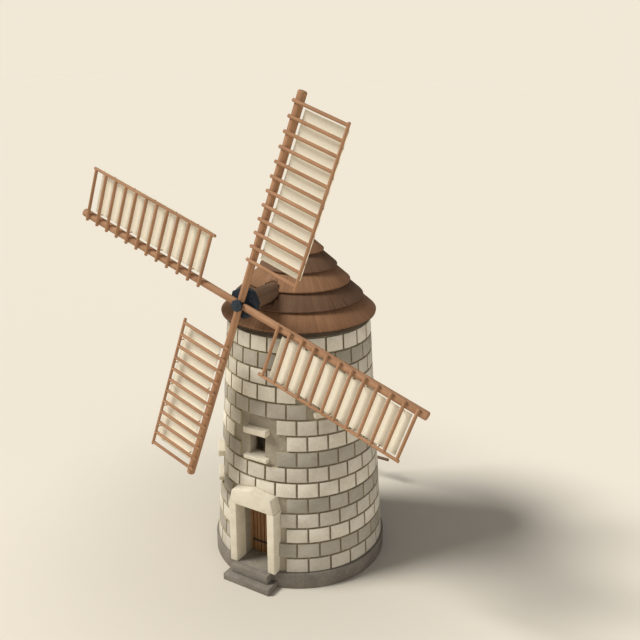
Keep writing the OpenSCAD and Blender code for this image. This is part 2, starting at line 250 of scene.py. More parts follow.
def copied(piece, place=None):
    """A copy of a piece with its own mesh, moved by a matrix."""
    copy = piece.copy()
    copy.data = piece.data.copy()
    bpy.context.collection.objects.link(copy)
    if place is not None:
        copy.data.transform(place)
    return copy


def joined(pieces, name):
    """Several meshes as one piece."""
    only(*pieces)
    if len(pieces) > 1:
        bpy.ops.object.join()
    pieces[0].name = name
    pieces[0].data.name = name
    return pieces[0]


def block(name, low, high):
    """A plain block between two corners, ready to be shaped."""
    middle = (Vector(low) + Vector(high)) / 2
    bpy.ops.mesh.primitive_cube_add(size=1, location=middle)
    piece = bpy.context.object
    piece.name = name
    piece.scale = Vector(high) - Vector(low)
    return settle(piece)


def rod(name, start, end, radius, tip_radius=None, sides=16, dome=0.0, dome_rings=3):
    """A round or faceted rod between two points, with its ends domed."""
    start, end = Vector(start), Vector(end)
    run = end - start
    bpy.ops.mesh.primitive_cone_add(
        vertices=sides, radius1=radius, radius2=tip_radius or radius, depth=run.length,
        location=(start + end) / 2, rotation=run.to_track_quat("Z", "Y").to_euler())
    piece = bpy.context.object
    piece.name = name
    along = run.normalized()
    settle(piece)
    if dome:
        edit(piece, "FACE", lambda centre, normal: abs(normal.dot(along)) > 0.9)
        bpy.ops.mesh.region_to_loop()
        bpy.ops.mesh.bevel(offset=dome, segments=dome_rings, affect="EDGES")
        done()
    return piece


def mark_grain(piece, along="X", shift=None):
    """Stores where each point lies along and across the wood, for the grain to follow."""
    order = {"X": (0, 1, 2), "Y": (1, 0, 2), "Z": (2, 0, 1)}[along]
    shift = shift or Vector([chance.uniform(-9, 9) for _ in range(3)])
    grain = piece.data.attributes.new("grain", "FLOAT_VECTOR", "POINT")
    for vertex, value in zip(piece.data.vertices, grain.data):
        value.vector = Vector([vertex.co[i] for i in order]) + shift
    return piece


def mark_tone(piece, tone):
    """Stores how light or dark a whole piece is, from 0 to 1."""
    values = piece.data.attributes.new("tone", "FLOAT", "POINT")
    for value in values.data:
        value.value = tone
    return piece


def of_kind(piece, number, *kinds):
    """Gives all of a piece's faces one of several finishes."""
    for kind in kinds:
        piece.data.materials.append(kind)
    for face in piece.data.polygons:
        face.material_index = number
    return piece


def finished(piece, finish, body, slot, *stands_for):
    """Gives a piece its finish, or finishes, and ties it to its body."""
    kinds = finish if isinstance(finish, list) else [finish]
    numbers = [face.material_index for face in piece.data.polygons]
    piece.data.materials.clear()
    for kind in kinds:
        piece.data.materials.append(kind)
    for face, number in zip(piece.data.polygons, numbers):
        face.material_index = min(number, len(kinds) - 1)
    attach(piece, body)
    if stands_for:
        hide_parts(*stands_for)
    return piece


def eased(node, edge, finish, along=None, corner=35, segments=2, pick=None):
    """A copy of a CAD piece with its sharp edges rounded, which stands for it."""
    piece = bpy.data.objects.new(node + "_eased", frame["nodes"][node].data.copy())
    bpy.context.collection.objects.link(piece)
    edit(piece)
    bpy.ops.mesh.remove_doubles(threshold=0.0002)
    bpy.ops.mesh.dissolve_limited(angle_limit=math.radians(0.4))
    done()
    if edge and pick:
        edit(piece, "EDGE", pick)
        bpy.ops.mesh.bevel(offset=edge, segments=segments, affect="EDGES")
        done()
    elif edge:
        ease(piece, edge, segments, corner)
    smooth(piece)
    if along:
        mark_grain(piece, along)
    return finished(piece, finish, BODY[node], SLOT[node], node)


def front_edge(a, b):
    """Whether an edge lies on the front of the doorway's jambs."""
    reach = -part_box("door_jambs")[0].y - 0.02
    return min(-a.y, -b.y) > reach


# --- Shading groups -------------------------------------------------------------------

def colour(text):
    """A colour written as RRGGBB, as linear values."""
    parts = [int(text[i:i + 2], 16) / 255 for i in (0, 2, 4)]
    linear = [p / 12.92 if p <= 0.04045 else ((p + 0.055) / 1.055) ** 2.4 for p in parts]
    return (*linear, 1)


def add(tree, kind, feeds=None, **settings):
    """Adds a shading node. feeds gives each input a value or another node's output."""
    made = tree.nodes.new("ShaderNode" + kind)
    for name, value in settings.items():
        setattr(made, name, value)
    for name, value in (feeds or {}).items():
        if isinstance(value, bpy.types.NodeSocket):
            tree.links.new(value, made.inputs[name])
        else:
            made.inputs[name].default_value = value
    return made


def maths(tree, operation, first, second=0.0, clamp=False):
    """The result of a sum, product or other operation."""
    made = add(tree, "Math", {0: first, 1: second}, operation=operation)
    made.use_clamp = clamp
    return made.outputs[0]


def scaled_to(tree, value, low, high, new_low=0.0, new_high=1.0):
    """A value mapped smoothly from one range to another."""
    return add(tree, "MapRange", {
        "Value": value, "From Min": low, "From Max": high,
        "To Min": new_low, "To Max": new_high}, interpolation_type="SMOOTHSTEP").outputs[0]


def blend(tree, share, first, second, how="MIX"):
    """Two colours mixed."""
    made = add(tree, "Mix", {0: share, 6: first, 7: second}, data_type="RGBA")
    made.blend_type = how
    return made.outputs[2]


def spread(tree, place, stretch):
    """A place stretched along its axes."""
    return add(tree, "Mapping", {"Vector": place, "Scale": stretch}).outputs[0]


def group(name, inputs, outputs):
    """A new shading group with named sockets, and its input and output nodes."""
    tree = bpy.data.node_groups.new(name, "ShaderNodeTree")
    for label, kind, value in inputs:
        socket = tree.interface.new_socket(
            label, in_out="INPUT", socket_type="NodeSocket" + kind)
        if value is not None:
            socket.default_value = value
    for label, kind in outputs:
        tree.interface.new_socket(label, in_out="OUTPUT", socket_type="NodeSocket" + kind)
    return tree, tree.nodes.new("NodeGroupInput"), tree.nodes.new("NodeGroupOutput")


def stone_group():
    """Mottled stone: broad clouds, small blotches and fine pits."""
    tree, given, out = group(
        "mottled stone",
        [("Place", "Vector", None), ("Light", "Color", None), ("Dark", "Color", None),
         ("Cloud size", "Float", 1.0)],
        [("Colour", "Color"), ("Height", "Float")])
    place = given.outputs["Place"]
    broad = maths(tree, "DIVIDE", 1.6, given.outputs["Cloud size"])
    cloud = add(tree, "TexNoise", {"Vector": place, "Scale": broad, "Detail": 4.0})
    blotch = add(tree, "TexNoise", {"Vector": place, "Scale": 11.0, "Detail": 6.0,
                                    "Roughness": 0.62})
    pits = add(tree, "TexVoronoi", {"Vector": place, "Scale": 46.0})
    grit = add(tree, "TexNoise", {"Vector": place, "Scale": 120.0, "Detail": 3.0})
    share = maths(tree, "ADD", maths(tree, "MULTIPLY", cloud.outputs[0], 0.6),
                  maths(tree, "MULTIPLY", blotch.outputs[0], 0.4))
    base = blend(tree, scaled_to(tree, share, 0.36, 0.64), given.outputs["Dark"],
                 given.outputs["Light"])
    pit = scaled_to(tree, pits.outputs["Distance"], 0.04, 0.2)
    speck = scaled_to(tree, grit.outputs[0], 0.35, 0.7, 0.9, 1.06)
    hollow = maths(tree, "ADD", 0.93, maths(tree, "MULTIPLY", pit, 0.07))
    shade = maths(tree, "MULTIPLY", speck, hollow)
    tree.links.new(blend(tree, 1.0, base, shade, "MULTIPLY"), out.inputs["Colour"])
    height = maths(tree, "ADD", maths(tree, "MULTIPLY", blotch.outputs[0], 0.7),
                   maths(tree, "MULTIPLY", pit, 0.25))
    height = maths(tree, "ADD", height, maths(tree, "MULTIPLY", grit.outputs[0], 0.12))
    tree.links.new(height, out.inputs["Height"])
    return tree


def wood_group():
    """Long grain: streaks that run along X, with darker pores."""
    tree, given, out = group(
        "long grain",
        [("Place", "Vector", None), ("Light", "Color", None), ("Dark", "Color", None),
         ("Streaks", "Float", 1.0)],
        [("Colour", "Color"), ("Height", "Float")])
    place = given.outputs["Place"]
    size = given.outputs["Streaks"]
    streak = add(tree, "TexNoise", {"Vector": spread(tree, place, (0.9, 16, 16)), "Scale": size,
                                    "Detail": 5.0, "Roughness": 0.6, "Distortion": 0.6})
    pore = add(tree, "TexNoise", {"Vector": spread(tree, place, (5, 130, 130)), "Scale": size,
                                  "Detail": 2.0})
    patch = add(tree, "TexNoise", {"Vector": place, "Scale": 0.9, "Detail": 3.0})
    share = maths(tree, "ADD", maths(tree, "MULTIPLY", streak.outputs[0], 0.7),
                  maths(tree, "MULTIPLY", patch.outputs[0], 0.3))
    base = blend(tree, scaled_to(tree, share, 0.3, 0.7), given.outputs["Dark"],
                 given.outputs["Light"])
    fine = scaled_to(tree, pore.outputs[0], 0.3, 0.6, 0.9, 1.03)
    tree.links.new(blend(tree, 1.0, base, fine, "MULTIPLY"), out.inputs["Colour"])
    height = maths(tree, "ADD", maths(tree, "MULTIPLY", streak.outputs[0], 0.6),
                   maths(tree, "MULTIPLY", pore.outputs[0], 0.4))
    tree.links.new(height, out.inputs["Height"])
    return tree


def edge_group():
    """Where a piece's edges are rubbed: how far a rounded normal leans from the real one."""
    tree, given, out = group("rubbed edge", [("Width", "Float", 0.02)], [("Mask", "Float")])
    rounded = add(tree, "Bevel", {"Radius": given.outputs["Width"]}, samples=4)
    real = add(tree, "NewGeometry")
    lean = add(tree, "VectorMath", {0: rounded.outputs[0], 1: real.outputs["Normal"]},
               operation="DOT_PRODUCT")
    mask = scaled_to(tree, lean.outputs["Value"], 0.97, 0.8)
    tree.links.new(mask, out.inputs["Mask"])
    return tree


def dust_group():
    """Where dust and lichen settle: upward faces, broken up by noise."""
    tree, given, out = group(
        "settled dust", [("Place", "Vector", None), ("Size", "Float", 3.0)], [("Mask", "Float")])
    up = add(tree, "SeparateXYZ", {0: add(tree, "NewGeometry").outputs["Normal"]})
    noise = add(tree, "TexNoise", {
        "Vector": given.outputs["Place"], "Scale": given.outputs["Size"],
        "Detail": 5.0, "Roughness": 0.65})
    flat = scaled_to(tree, up.outputs[2], 0.25, 0.95)
    patch = scaled_to(tree, noise.outputs[0], 0.38, 0.68)
    tree.links.new(maths(tree, "MULTIPLY", flat, patch), out.inputs["Mask"])
    return tree


def boards_group():
    """Boards nailed round the cap: seams, a shade for each board and the way its grain runs."""
    tree, given, out = group(
        "boards round",
        [("Place", "Vector", None), ("Boards", "Float", 48.0)],
        [("Grain", "Vector"), ("Seam", "Float"), ("Shade", "Float")])
    part = add(tree, "SeparateXYZ", {0: given.outputs["Place"]})
    turn = maths(tree, "ARCTAN2", part.outputs[0], part.outputs[1])
    rate = maths(tree, "DIVIDE", given.outputs["Boards"], math.tau)
    count = maths(tree, "MULTIPLY", turn, rate)
    board = maths(tree, "FLOOR", count)
    across = maths(tree, "SUBTRACT", count, board)
    middle = maths(tree, "ABSOLUTE", maths(tree, "SUBTRACT", across, 0.5))
    tree.links.new(scaled_to(tree, middle, 0.47, 0.495), out.inputs["Seam"])
    alone = add(tree, "CombineXYZ", {0: board}).outputs[0]
    shade = add(tree, "TexWhiteNoise", {"Vector": alone}, noise_dimensions="3D")
    tree.links.new(shade.outputs["Value"], out.inputs["Shade"])
    grain = add(tree, "CombineXYZ", {
        0: part.outputs[2], 1: maths(tree, "MULTIPLY", across, 0.25), 2: board})
    tree.links.new(grain.outputs[0], out.inputs["Grain"])
    return tree


def weave_group():
    """Plain woven canvas: threads over and under, with slubs."""
    tree, given, out = group(
        "plain weave", [("Place", "Vector", None), ("Thread", "Float", 0.004)],
        [("Height", "Float"), ("Shade", "Float")])
    part = add(tree, "SeparateXYZ", {0: given.outputs["Place"]})
    rate = maths(tree, "DIVIDE", math.pi, given.outputs["Thread"])
    warp = maths(tree, "SINE", maths(tree, "MULTIPLY", part.outputs[0], rate))
    weft = maths(tree, "SINE", maths(tree, "MULTIPLY", part.outputs[1], rate))
    over = maths(tree, "MULTIPLY", warp, weft)
    slub = add(tree, "TexNoise", {"Vector": spread(tree, given.outputs["Place"], (6, 90, 1)),
                                  "Scale": 1.0, "Detail": 4.0})
    tree.links.new(maths(tree, "ADD", maths(tree, "MULTIPLY", over, 0.3), slub.outputs[0]),
                   out.inputs["Height"])
    tree.links.new(scaled_to(tree, slub.outputs[0], 0.3, 0.7), out.inputs["Shade"])
    return tree


STONE, WOOD, EDGE = stone_group(), wood_group(), edge_group()
DUST, BOARDS, WEAVE = dust_group(), boards_group(), weave_group()


# --- Finishes -------------------------------------------------------------------------

def material(name, **constants):
    """A new material, its tree and its shader, with the shader's plain values set."""
    made = bpy.data.materials.new(name)
    made.use_nodes = True
    shader = made.node_tree.nodes["Principled BSDF"]
    for label, value in constants.items():
        shader.inputs[label.replace("_", " ")].default_value = value
    return made, made.node_tree, shader


def use(tree, effect, feeds):
    """Places a shading group in a material."""
    return add(tree, "Group", feeds, node_tree=effect)


def place_of(tree):
    """Object coordinates."""
    return add(tree, "TexCoord").outputs["Object"]


def part_of(tree, mask, amount):
    """A mask turned down to a share of itself."""
    return maths(tree, "MULTIPLY", mask, amount)


def lay_on(tree, shader, tint, rough, height=None, strength=0.5, distance=0.005):
    """Feeds a colour, a roughness and, if given, a height to a shader."""
    tree.links.new(tint, shader.inputs["Base Color"])
    tree.links.new(rough, shader.inputs["Roughness"])
    if height:
        bump = add(tree, "Bump", {"Height": height, "Strength": strength, "Distance": distance})
        tree.links.new(bump.outputs[0], shader.inputs["Normal"])


def stone_finish(name, light, dark, cloud=1.0, rubbed="DDD3BC", rub=0.35, dust=0.0,
                 edge=0.02, relief=0.5, depth=0.006):
    """A stone with mottling, rubbed edges and, if wanted, dust on its upper faces."""
    made, tree, shader = material(name, Roughness=0.85, Specular_IOR_Level=0.25)
    place = place_of(tree)
    stone = use(tree, STONE, {"Place": place, "Light": colour(light), "Dark": colour(dark),
                              "Cloud size": cloud})
    rubbing = use(tree, EDGE, {"Width": edge}).outputs[0]
    tint = blend(tree, part_of(tree, rubbing, rub), stone.outputs["Colour"], colour(rubbed))
    if dust:
        settled = use(tree, DUST, {"Place": place, "Size": 2.5}).outputs[0]
        tint = blend(tree, part_of(tree, settled, dust), tint, colour("8F8A70"))
    height = stone.outputs["Height"]
    rough = scaled_to(tree, height, 0.3, 0.9, 0.95, 0.78)
    lay_on(tree, shader, tint, rough, height, relief, depth)
    return made


def face_stone_finish():
    """The wall's face stones. Each stone's stored tone picks between three shades."""
    made, tree, shader = material("face stone", Roughness=0.85, Specular_IOR_Level=0.25)
    place = place_of(tree)
    tone = add(tree, "Attribute", attribute_name="tone").outputs["Fac"]
    ramp = add(tree, "ValToRGB", {0: tone})
    ramp.color_ramp.elements[0].color = colour("ACA597")
    ramp.color_ramp.elements[1].color = colour("F0E8D7")
    ramp.color_ramp.elements.new(0.5).color = colour("D7CFC0")
    darker = blend(tree, 1.0, ramp.outputs[0], colour("EFEDE9"), "MULTIPLY")
    stone = use(tree, STONE, {"Place": place, "Light": ramp.outputs[0], "Dark": darker,
                              "Cloud size": 0.8})
    rubbing = use(tree, EDGE, {"Width": 0.018}).outputs[0]
    lighter = blend(tree, 0.3, ramp.outputs[0], colour("F6F0E2"))
    tint = blend(tree, part_of(tree, rubbing, 0.4), stone.outputs["Colour"], lighter)
    height = stone.outputs["Height"]
    rough = scaled_to(tree, height, 0.3, 0.9, 0.95, 0.78)
    lay_on(tree, shader, tint, rough, height, 0.45, 0.006)
    return made


def wood_finish(name, light, dark, streaks=1.0, rubbed="B98F64", rub=0.3, edge=0.012,
                relief=0.35, depth=0.003):
    """Wood whose grain follows the place stored on the piece."""
    made, tree, shader = material(name, Roughness=0.7, Specular_IOR_Level=0.3)
    place = add(tree, "Attribute", attribute_name="grain").outputs["Vector"]
    wood = use(tree, WOOD, {"Place": place, "Light": colour(light), "Dark": colour(dark),
                            "Streaks": streaks})
    rubbing = use(tree, EDGE, {"Width": edge}).outputs[0]
    tint = blend(tree, part_of(tree, rubbing, rub), wood.outputs["Colour"], colour(rubbed))
    height = wood.outputs["Height"]
    rough = scaled_to(tree, height, 0.3, 0.7, 0.8, 0.6)
    lay_on(tree, shader, tint, rough, height, relief, depth)
    return made


def roof_finish(name, light, dark):
    """Boards laid up the slope of the cap, side by side all round."""
    made, tree, shader = material(name, Roughness=0.75, Specular_IOR_Level=0.25)
    place = place_of(tree)
    boards = use(tree, BOARDS, {"Place": place, "Boards": 48.0})
    wood = use(tree, WOOD, {"Place": boards.outputs["Grain"], "Light": colour(light),
                            "Dark": colour(dark), "Streaks": 0.8})
    shade = scaled_to(tree, boards.outputs["Shade"], 0.0, 1.0, 0.96, 1.03)
    seam = boards.outputs["Seam"]
    tint = blend(tree, 1.0, wood.outputs["Colour"], shade, "MULTIPLY")
    tint = blend(tree, part_of(tree, seam, 0.3), tint, colour("3A2A20"))
    settled = use(tree, DUST, {"Place": place, "Size": 1.8}).outputs[0]
    tint = blend(tree, part_of(tree, settled, 0.12), tint, colour("8A7A66"))
    rough = scaled_to(tree, wood.outputs["Height"], 0.3, 0.7, 0.85, 0.66)
    height = maths(tree, "SUBTRACT", part_of(tree, wood.outputs["Height"], 0.3), seam)
    lay_on(tree, shader, tint, rough, height, 0.4, 0.004)
    return made


def hem_mask(tree, flat, length, width):
    """Where the canvas is doubled and sewn down, all round its edge."""
    part = add(tree, "SeparateXYZ", {0: flat})
    gaps = []
    for axis, size in ((0, length), (1, width)):
        middle = maths(tree, "ABSOLUTE", maths(tree, "SUBTRACT", part.outputs[axis], size / 2))
        gaps.append(maths(tree, "SUBTRACT", size / 2, middle))
    gap = maths(tree, "MINIMUM", *gaps)
    return scaled_to(tree, gap, 0.042, 0.036)


def canvas_finish(length, width):
    """Cream canvas with a plain weave, stitched joins between its widths and some dirt."""
    made, tree, shader = material("sail canvas", Roughness=0.9, Specular_IOR_Level=0.15)
    flat = add(tree, "UVMap", uv_map="cut").outputs["UV"]
    weave = use(tree, WEAVE, {"Place": flat, "Thread": 0.0035})
    soil = add(tree, "TexNoise", {"Vector": flat, "Scale": 2.2, "Detail": 5.0,
                                  "Roughness": 0.6})
    tint = blend(tree, weave.outputs["Shade"], colour("FBF4DB"), colour("FFFBEA"))
    tint = blend(tree, scaled_to(tree, soil.outputs[0], 0.52, 0.78, 0.0, 0.35), tint,
                 colour("E9DFC0"))
    along = add(tree, "SeparateXYZ", {0: flat}).outputs[0]
    strip = maths(tree, "MULTIPLY", along, 1 / CANVAS_STRIP)
    join = maths(tree, "ABSOLUTE", maths(tree, "SUBTRACT", maths(tree, "FRACT", strip), 0.5))
    seam = scaled_to(tree, join, 0.485, 0.495)
    tint = blend(tree, part_of(tree, seam, 0.25), tint, colour("CFC09A"))
    hem = hem_mask(tree, flat, length, width)
    tint = blend(tree, part_of(tree, hem, 0.3), tint, colour("E3D7B2"))
    height = maths(tree, "ADD", weave.outputs["Height"], part_of(tree, seam, 0.8))
    height = maths(tree, "ADD", height, hem)
    rough = scaled_to(tree, soil.outputs[0], 0.3, 0.7, 0.86, 0.97)
    lay_on(tree, shader, tint, rough, height, 0.3, 0.0015)
    return made


def iron_finish(name, base, rust, gloss=0.45, metal=0.35, rub=0.4):
    """Black iron: worn bright on its edges, a little rusty in patches."""
    made, tree, shader = material(name, Specular_IOR_Level=0.5)
    place = place_of(tree)
    patch = add(tree, "TexNoise", {"Vector": place, "Scale": 7.0, "Detail": 6.0,
                                   "Roughness": 0.7})
    grain = add(tree, "TexNoise", {"Vector": place, "Scale": 60.0, "Detail": 3.0})
    rusty = scaled_to(tree, patch.outputs[0], 0.6, 0.78)
    rubbing = use(tree, EDGE, {"Width": 0.01}).outputs[0]
    tint = blend(tree, part_of(tree, rusty, 0.5), colour(base), colour(rust))
    tint = blend(tree, part_of(tree, rubbing, rub), tint, colour("6C7680"))
    tree.links.new(scaled_to(tree, rusty, 0.0, 1.0, metal, 0.0), shader.inputs["Metallic"])
    rough = scaled_to(tree, patch.outputs[0], 0.35, 0.75, gloss, gloss + 0.3)
    lay_on(tree, shader, tint, rough, grain.outputs[0], 0.25, 0.002)
    return made


def glass_finish():
    """Window glass with a little dust on it, in patches."""
    made, tree, shader = material("window glass", Transmission_Weight=1.0, IOR=1.45,
                                  Metallic=0.0)
    dust = add(tree, "TexNoise", {"Vector": place_of(tree), "Scale": 5.0, "Detail": 5.0})
    tint = blend(tree, dust.outputs[0], colour("C9D4D2"), colour("E4EAE6"))
    lay_on(tree, shader, tint, scaled_to(tree, dust.outputs[0], 0.4, 0.75, 0.04, 0.22))
    return made


FACE_STONE = face_stone_finish()
BARE_WALL = stone_finish("bare wall", "B0A592", "9A907E", cloud=1.6, rub=0.1, depth=0.004)
JOINT_SIDE = stone_finish("joint side", "BBAE8E", "A3967A", rub=0.0, depth=0.003)
DRESSED = stone_finish("dressed stone", "E7DEC9", "DACFB8", cloud=0.7, rubbed="F2E9D3", rub=0.4)
PLINTH_STONE = stone_finish("plinth stone", "8C8479", "7A7268", cloud=0.9, rubbed="A19986",
                            rub=0.35, dust=0.25)
ROOF_LIGHT = roof_finish("roof boards light", "986F50", "866144")
ROOF_DARK = roof_finish("roof boards dark", "73553F", "644936")
DARK_WOOD = wood_finish("dark timber", "7D624B", "6B523E", rubbed="8A6E55", relief=0.2)
CURB_WOOD = roof_finish("curb boards", "57493A", "45392D")
SAIL_WOOD = wood_finish("sail timber", "B88C69", "9B7252", rubbed="C79E76")
PLANK = wood_finish("door plank", "A87F55", "7E5A3A", rubbed="B98F63")
# The door's back boards are painted very dark: painted shade for what shows through the open
# joints between the front boards.
BACK_PLANK_PAINTED_SHADE = wood_finish("door back painted shade", "3E2A1A", "2A1B10", rubbed="4A3523")
FRAME_WOOD = wood_finish("window frame wood", "5E4A36", "433425", rubbed="8A7254")
ROPE = stone_finish("rope", "E0D2AA", "C9B98F", rub=0.1, depth=0.002)
HUB_IRON = iron_finish("hub iron", "2C3640", "4A3E36")
DOOR_IRON = iron_finish("door iron", "25201D", "50382A", gloss=0.5)
GLASS = glass_finish()


# --- The wall's face stones -----------------------------------------------------------

def stone_section(course):
    """The upright section of one course's stones, at azimuth 0."""
    low = floor_level + course * course_height + JOINT_WIDTH / 2
    high = low + course_height - JOINT_WIDTH
    inner = wall_radius(low) - STONE_ROOTED
    outer = wall_radius(low) + STONE_STANDS_OUT
    top_outer = wall_radius(high) + STONE_STANDS_OUT
    return low, high, inner, outer, top_outer


def face_stone(course, turn, cut=()):
    """One stone, spun round the tower's axis through a turn in radians, centred on -Y."""
    low, high, inner, outer, top_outer = stone_section(course)
    bpy.ops.mesh.primitive_plane_add(
        size=1, location=(0, -(inner + outer) / 2, (low + high) / 2),
        rotation=(0, math.pi / 2, 0))
    piece = bpy.context.object
    piece.data.materials.append(FACE_STONE)
    piece.data.materials.append(JOINT_SIDE)
    piece.scale = (high - low, outer - inner, 1)
    settle(piece)
    edit(piece, "VERT", lambda co: co.z > (low + high) / 2)
    bpy.ops.transform.translate(value=(0, outer - top_outer, 0))
    bpy.ops.mesh.select_all(action="SELECT")
    bpy.ops.mesh.spin(steps=3, angle=turn, center=(0, 0, 0), axis=(0, 0, 1))
    done()
    piece.data.transform(Matrix.Rotation(turn_back(piece, turn), 4, "Z"))
    face_out(piece)
    for point, normal in cut:
        edit(piece)
        bpy.ops.mesh.bisect(plane_co=point, plane_no=normal, use_fill=True, clear_inner=True)
        done()
    for face in piece.data.polygons:
        face.material_index = int(face.normal.xy.dot(face.center.xy.normalized()) < 0.8)
    edit(piece, "FACE", lambda centre, normal: normal.xy.dot(centre.xy.normalized()) > 0.9)
    bpy.ops.mesh.region_to_loop()
    bpy.ops.mesh.bevel(offset=STONE_EDGE, segments=2, affect="EDGES")
    done()
    return smooth(piece)


def turn_back(piece, turn):
    """The turn that brings a spun stone's middle back to -Y."""
    far = max((v.co for v in piece.data.vertices), key=lambda co: abs(co.x))
    return -math.copysign(turn / 2, far.x)


def left_out(course, azimuth):
    """Whether a stone is left out, beside the doorway or round a window."""
    doorway = DOORWAY_NARROW if course % 2 else DOORWAY_WIDE
    if course < DOORWAY_COURSES and abs(azimuth) < doorway:
        return True
    for number, window in enumerate(WINDOW_TURNS):
        row = course - FIRST_WINDOW_COURSE - COURSES_BETWEEN_WINDOWS * number
        reach = WINDOW_WIDE if row == 1 else WINDOW_NARROW
        if row in (0, 1, 2) and abs(azimuth - window) < reach:
            return True
    return False


def stone_cuts(course, azimuth):
    """Where a stone meets the dressed surround of the doorway, as planes that trim it."""
    turn = Matrix.Rotation(-math.radians(azimuth), 4, "Z")
    side = 1 if azimuth > 0 else -1
    if course in JAMB_COURSES and abs(azimuth) < JAMB_REACH:
        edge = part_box("door_jambs")[1].x + SURROUND_GAP
        return [(turn @ Vector((side * edge, 0, 0)), turn @ Vector((side, 0, 0)))]
    if course == LINTEL_COURSE and abs(azimuth) < LINTEL_REACH:
        corners = [v.co for v in frame["nodes"]["door_lintel"].data.vertices]
        peak = max(co.z for co in corners)
        shoulder = max((co for co in corners if co.x > 0.3), key=lambda co: co.z)
        fall = Vector((side * (peak - shoulder.z), 0, shoulder.x)).normalized()
        return [(turn @ Vector((0, 0, peak + SURROUND_GAP)), turn @ fall)]
    return []


def build_course(course):
    """All the face stones of one course, as one piece."""
    step = 360 / STONES_ROUND
    outer = stone_section(course)[3]
    turn = math.radians(step) - JOINT_WIDTH / outer
    pattern = face_stone(course, turn)
    shade = COURSE_TONES[course % len(COURSE_TONES)]
    stones = []
    for place in range(STONES_ROUND):
        azimuth = (place - STONES_ROUND / 2) * step + (step / 2 if course % 2 else 0)
        if left_out(course, azimuth):
            continue
        cuts = stone_cuts(course, azimuth)
        stone = face_stone(course, turn, cuts) if cuts else copied(pattern)
        proud = chance.uniform(-STONE_PROUD_BY_CHANCE, STONE_PROUD_BY_CHANCE)
        stone.data.transform(Matrix.Rotation(math.radians(azimuth), 4, "Z")
                             @ Matrix.Translation((0, -proud, 0)))
        tone = shade + chance.uniform(-TONE_BY_CHANCE, TONE_BY_CHANCE)
        mark_tone(stone, min(1, max(0, tone)))
        stones.append(stone)
    bpy.data.objects.remove(pattern)
    finished(joined(stones, f"face_stones_course_{course + 1}"), [FACE_STONE, JOINT_SIDE],
             "tower", "wall_stone")


# --- The doorway and the door ---------------------------------------------------------

def build_stonework():
    """The dressed stones, steps and plinth, with their edges eased."""
    eased("plinth", 0.02, PLINTH_STONE, corner=50)
    eased("step_lower", 0.016, PLINTH_STONE, corner=50)
    eased("step_upper", 0.016, PLINTH_STONE, corner=50)
    eased("door_jambs", 0.022, DRESSED, segments=3, pick=front_edge)
    eased("door_lintel", 0.022, DRESSED, corner=12, segments=3)
    eased("window_lintels", 0.018, DRESSED, segments=3)
    eased("window_sills", 0.018, DRESSED, segments=3)


def build_door():
    """Upright boards with open joints, nailed to a back layer laid across them."""
    low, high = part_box("door_leaf")
    width = (high.x - low.x) / DOOR_BOARDS
    back = high.y - BACK_THICKNESS
    pieces = []
    for number in range(DOOR_BOARDS):
        left = low.x + number * width + BOARD_GAP / 2
        board = block("board", (left, low.y, low.z), (left + width - BOARD_GAP, back, high.z))
        ease(board, 0.007)
        pieces.append(mark_grain(of_kind(board, 0, PLANK, BACK_PLANK_PAINTED_SHADE), "Z"))
    # The back boards take the very dark back finish, painted shade seen through the open joints.
    rise = (high.z - low.z) / BACK_BOARDS
    for number in range(BACK_BOARDS):
        bottom = low.z + number * rise
        board = block("back board", (low.x, back, bottom + BACK_GAP / 2),
                      (high.x, high.y, bottom + rise - BACK_GAP / 2))
        ease(board, 0.004)
        pieces.append(mark_grain(of_kind(board, 1, PLANK, BACK_PLANK_PAINTED_SHADE), "X"))
    door = smooth(joined(pieces, "door_boards"))
    finished(door, [PLANK, BACK_PLANK_PAINTED_SHADE], "door", "plank", "door_leaf")


def build_studs():
    """Domed nail heads along the two straps of the door."""
    low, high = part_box("door_ironwork")
    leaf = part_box("door_leaf")[0]
    studs = []
    for height in (low.z + STUD_FROM_STRAP_EDGE, high.z - STUD_FROM_STRAP_EDGE):
        for number in range(STUDS):
            across = leaf.x + FIRST_STUD + number * STUD_GAP
            studs.append(rod(
                "stud", (across, low.y + 0.004, height), (across, low.y - 0.009, height),
                STUD_RADIUS, sides=12, dome=0.006, dome_rings=2))
    finished(smooth(joined(studs, "door_studs"), 60), DOOR_IRON, "door", "iron")


# --- The sails ------------------------------------------------------------------------

SAIL = sail_place(1)
arm_low, arm_high = box_in(SAIL, "sail_arm_1")
lattice_low, lattice_high = box_in(SAIL, "sail_lattice_1")
cloth_low, cloth_high = box_in(SAIL, "sail_cloth_1")
rung_gaps = RUNGS - 1 + BAR_PAST_FIRST_RUNG + BAR_PAST_LAST_RUNG
rung_gap = (lattice_high.x - lattice_low.x) / rung_gaps
first_rung = lattice_low.x + BAR_PAST_FIRST_RUNG * rung_gap
rung_front = lattice_low.y + max(RUNG_RADIUS, BAR_RADIUS)
bar_across = lattice_low.z + BAR_RADIUS


def sail_arm():
    """One tapered eight-sided arm in the sail's own frame, its edges rounded off."""
    root = max(v.z for v in arm_points() if v.x < arm_low.x + 0.05)
    tip = arm_high.z
    flats = math.cos(math.pi / 8)
    arm = rod("arm", (arm_low.x, 0, 0), (arm_high.x, 0, 0), root / flats, tip / flats, sides=8)
    arm.data.transform(Matrix.Rotation(flat_turn(arm), 4, "X"))
    ease(arm, 0.045, 4)
    return mark_grain(smooth(arm, 50), "X")


def arm_points():
    """The CAD arm's points in the sail's own frame."""
    back = SAIL.inverted()
    return [back @ v.co for v in frame["nodes"]["sail_arm_1"].data.vertices]


def flat_turn(arm):
    """The turn about X that puts a flat of an eight-sided rod to the front."""
    corner = arm.data.vertices[0].co
    return math.pi / 8 - math.atan2(corner.z, corner.y)


def peg_places():
    """Where the pegs stand: along the arm and across from it."""
    outer = [(first_rung + k * rung_gap, cloth_low.z + PEG_INSET) for k in OUTER_PEGS]
    inner = [(first_rung + k * rung_gap, cloth_high.z - PEG_INSET) for k in INNER_PEGS]
    return outer + inner


